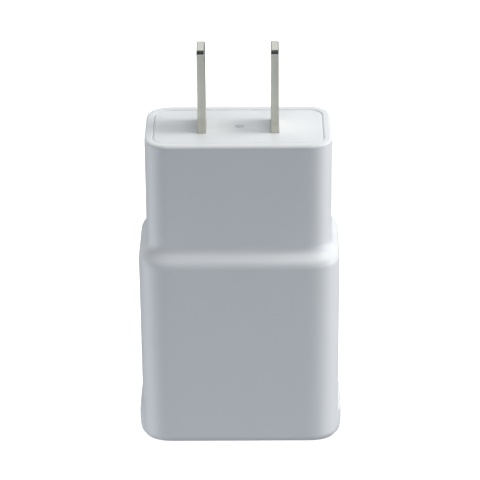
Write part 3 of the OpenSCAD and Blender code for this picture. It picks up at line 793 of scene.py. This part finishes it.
def build_usb_contacts():
    """Four gold-plated springs, bowed along their length, whose tips dive into the tongue."""
    bm = bmesh.new()
    thick = CONTACTS_HIGH.y - CONTACTS_LOW.y
    for x in CONTACT_PLACES:
        rings = []
        for t in steps(24):
            z = mix(CONTACTS_LOW.z, CONTACTS_HIGH.z, t)
            dive = CONTACT_DIVE * max(0.0, 1 - t / DIVE_SHARE) ** 2
            bow = CONTACT_BOW * math.sin(math.pi * min(1.0, t / BOW_SHARE))
            inset = CONTACT_END_INSET if t in (0, 1) else 0.0
            middle = CONTACTS_LOW.y + thick / 2 + CONTACT_BOW - bow + dive
            rings.append([p + Vector((x, middle, 0)) for p in
                          ring_3d((z, CONTACT_W - 2 * inset, thick - 2 * CONTACT_BOW - inset, CONTACT_EDGE),
                                  corner_steps=3, edge_steps=2)])
        loops = add_rings(bm, rings)
        bm.faces.new(loops[0])
        bm.faces.new(loops[-1])
    obj = piece("usb_contact_springs", bm, "contact_gold", "usb_contacts")
    even_normals(obj, 40)
    return obj


build_housing()
build_face_plate()
build_blade("blade_left_strip", "blade_left", -BLADE_X)
build_blade("blade_right_strip", "blade_right", BLADE_X)
build_usb_shell()
build_usb_tongue()
build_usb_contacts()

slot_of = {s["node"]: s["material_slot"] for s in frame["record"]["subparts"]}
for node_name, cad_object in frame["nodes"].items():
    for material_slot in cad_object.material_slots:
        material_slot.material = MATERIALS[slot_of[node_name]]


# ---------------------------------------------------------------- stage
LIT_POINT = Vector((0, 0, 0.045))

PLAIN_LIGHT = (1.0, 1.0, 1.0)
WARM_LIGHT = (1.0, 0.97, 0.93)
COOL_LIGHT = (0.92, 0.96, 1.0)
BLUE_LIGHT = (0.87, 0.93, 1.0)

# The key is a bank of equal narrow lamps on the right, from level to overhead, so that it casts the
# blades' shadows straight to the left. Azimuth 0 is the front and 90 the right, in degrees.
KEY_AZIMUTH = 90
KEY_ELEVATIONS = (0, 45, 65, 85)
KEY_SIZE = (0.08, 0.12)
KEY_POWER = 0.34
# Two weaker lamps stand one on either side of the key and soften its edges.
WING_AZIMUTHS = (KEY_AZIMUTH - 15, KEY_AZIMUTH + 15)
WING_ELEVATION = 50
WING_SIZE = (0.10, 0.20)
WING_POWER = 0.28
KEY_DISTANCE = 0.5

# Three equal fills stand low across the front, so that it stays greyer than the top, and one on each
# side: azimuth, elevation, power in watts and colour.
FRONT_FILL_AZIMUTHS = (-60, 0, 60)
FRONT_FILL_ELEVATION = -30
SIDE_FILL_ELEVATION = -10
LEFT_FILL_POWER = 0.09
FILL_POWER = 0.13
FILLS = [(azimuth, FRONT_FILL_ELEVATION, FILL_POWER, BLUE_LIGHT) for azimuth in FRONT_FILL_AZIMUTHS]
FILLS += [(-90, SIDE_FILL_ELEVATION, LEFT_FILL_POWER, PLAIN_LIGHT),
          (90, SIDE_FILL_ELEVATION, FILL_POWER, PLAIN_LIGHT)]
FILL_SIZE = (0.20, 0.20)
FILL_DISTANCE = 0.29

# Broad glows of the tent: one high in front, one low on the left and equal ones round the right and
# the back. Azimuth and elevation of the middle, and brightness there.
GLOW_TIGHTNESS = 12
STRONG_GLOW = 1.8
BACK_GLOW = 1.2
BACK_GLOW_ELEVATION = 15
BACK_GLOW_AZIMUTHS = (90, 135, 180, 225)
GLOWS = [(0, 60, STRONG_GLOW), (-90, -30, STRONG_GLOW)]
GLOWS += [(azimuth, BACK_GLOW_ELEVATION, BACK_GLOW) for azimuth in BACK_GLOW_AZIMUTHS]

TENT_SIZE = 2.5
FLOOR_GLOW = 0.80
TENT_GLOW = 1.0


def heading(azimuth, elevation):
    """The unit vector towards an azimuth and elevation."""
    a, e = math.radians(azimuth), math.radians(elevation)
    return Vector((math.sin(a) * math.cos(e), -math.cos(a) * math.cos(e), math.sin(e)))


def build_panel(name, azimuth, elevation, distance, size, power, color):
    light = bpy.data.lights.new(name, "AREA")
    light.shape = "RECTANGLE"
    light.size, light.size_y = size
    light.energy = power
    light.color = color
    obj = bpy.data.objects.new(name, light)
    towards = heading(azimuth, elevation)
    obj.location = LIT_POINT + distance * towards
    obj.rotation_euler = (-towards).to_track_quat("-Z", "Y").to_euler()
    obj.visible_camera = False
    bpy.context.scene.collection.objects.link(obj)


def build_world():
    """The tent's own light: the sum of its glows."""
    world = bpy.data.worlds.new("tent")
    bpy.context.scene.world = world
    world.use_nodes = True
    nodes, links = world.node_tree.nodes, world.node_tree.links
    ray = nodes.new("ShaderNodeTexCoord").outputs["Generated"]
    total = None
    for azimuth, elevation, brightness in GLOWS:
        towards = nodes.new("ShaderNodeVectorMath")
        towards.operation = "DOT_PRODUCT"
        links.new(ray, towards.inputs[0])
        towards.inputs[1].default_value = heading(azimuth, elevation)
        fall = nodes.new("ShaderNodeMath")
        fall.operation = "MULTIPLY_ADD"
        links.new(towards.outputs["Value"], fall.inputs[0])
        fall.inputs[1].default_value = GLOW_TIGHTNESS
        fall.inputs[2].default_value = -GLOW_TIGHTNESS
        glow = nodes.new("ShaderNodeMath")
        glow.operation = "EXPONENT"
        links.new(fall.outputs["Value"], glow.inputs[0])
        tinted = nodes.new("ShaderNodeVectorMath")
        tinted.operation = "MULTIPLY_ADD"
        links.new(glow.outputs["Value"], tinted.inputs[0])
        tinted.inputs[1].default_value = brightness * Vector(COOL_LIGHT)
        if total:
            links.new(total, tinted.inputs[2])
        total = tinted.outputs["Vector"]
    links.new(total, nodes["Background"].inputs["Color"])


def staged(name, bm, glow, see_through_back):
    """A white sheet that only the camera sees, so that it neither lights nor shades the charger."""
    obj = link_mesh(name, bm)
    s = Shader(name + "_paper", (0.9, 0.9, 0.9), 0.9)
    s.bsdf.inputs["Emission Color"].default_value = (1, 1, 1, 1)
    s.bsdf.inputs["Emission Strength"].default_value = glow
    if see_through_back:
        clear = s.nodes.new("ShaderNodeBsdfTransparent")
        side = s.nodes.new("ShaderNodeNewGeometry").outputs["Backfacing"]
        blend = s.nodes.new("ShaderNodeMixShader")
        s.links.new(side, blend.inputs["Fac"])
        s.links.new(s.bsdf.outputs["BSDF"], blend.inputs[1])
        s.links.new(clear.outputs["BSDF"], blend.inputs[2])
        s.links.new(blend.outputs["Shader"], s.nodes["Material Output"].inputs["Surface"])
    obj.data.materials.append(s.material)
    obj.visible_diffuse = False
    obj.visible_glossy = False
    obj.visible_shadow = False


def build_stage():
    floor = bmesh.new()
    bmesh.ops.create_grid(floor, x_segments=1, y_segments=1, size=TENT_SIZE)
    staged("floor", floor, FLOOR_GLOW, True)
    tent = bmesh.new()
    bmesh.ops.create_icosphere(tent, subdivisions=4, radius=TENT_SIZE)
    bmesh.ops.reverse_faces(tent, faces=tent.faces)
    staged("tent", tent, TENT_GLOW, False)


# The camera's place and aim, fitted to the photo's view. Lengths are in millimetres.
CAMERA_ELEVATION = math.radians(24.58)
CAMERA_TURN = math.radians(0.54)
CAMERA_ROLL = math.radians(-0.514)
CAMERA_DISTANCE = 446.6
CAMERA_LENS = 193.06
SENSOR_WIDTH = 36
CAMERA_SIDE = 0.105
CAMERA_DROP = 19.73
CAMERA_AIM = 57.1


def build_camera():
    """Aims at the middle of the rim's plane from the front and above, with the small turn and roll seen."""
    up = Vector((0, math.sin(CAMERA_ELEVATION), math.cos(CAMERA_ELEVATION)))
    ahead = Vector((0, math.cos(CAMERA_ELEVATION), -math.sin(CAMERA_ELEVATION)))
    right = Vector((1, 0, 0))
    place = CAMERA_SIDE * right - CAMERA_DROP * up - CAMERA_DISTANCE * ahead
    rolled_right = right * math.cos(CAMERA_ROLL) + up * math.sin(CAMERA_ROLL)
    rolled_up = up * math.cos(CAMERA_ROLL) - right * math.sin(CAMERA_ROLL)
    turn = Matrix.Rotation(CAMERA_TURN, 3, "Z")
    axes = [turn @ v for v in (rolled_right, rolled_up, -ahead)]
    data = bpy.data.cameras.new("camera")
    data.lens = CAMERA_LENS
    data.sensor_width = SENSOR_WIDTH
    data.clip_start = 0.01
    obj = bpy.data.objects.new("camera", data)
    obj.matrix_world = Matrix([[*[axes[c][r] for c in range(3)], 0] for r in range(3)] + [[0, 0, 0, 1]])
    obj.location = (turn @ place + Vector((0, 0, CAMERA_AIM))) * MM
    bpy.context.scene.collection.objects.link(obj)
    bpy.context.scene.camera = obj


for elevation in KEY_ELEVATIONS:
    build_panel(f"key_{elevation}", KEY_AZIMUTH, elevation, KEY_DISTANCE, KEY_SIZE, KEY_POWER, WARM_LIGHT)
for azimuth in WING_AZIMUTHS:
    build_panel(f"wing_{azimuth}", azimuth, WING_ELEVATION, KEY_DISTANCE, WING_SIZE, WING_POWER, PLAIN_LIGHT)
for number, (azimuth, elevation, power, color) in enumerate(FILLS):
    build_panel(f"fill_{number}", azimuth, elevation, FILL_DISTANCE, FILL_SIZE, power, color)
build_world()
build_stage()
build_camera()
bpy.context.scene.view_settings.view_transform = "Standard"
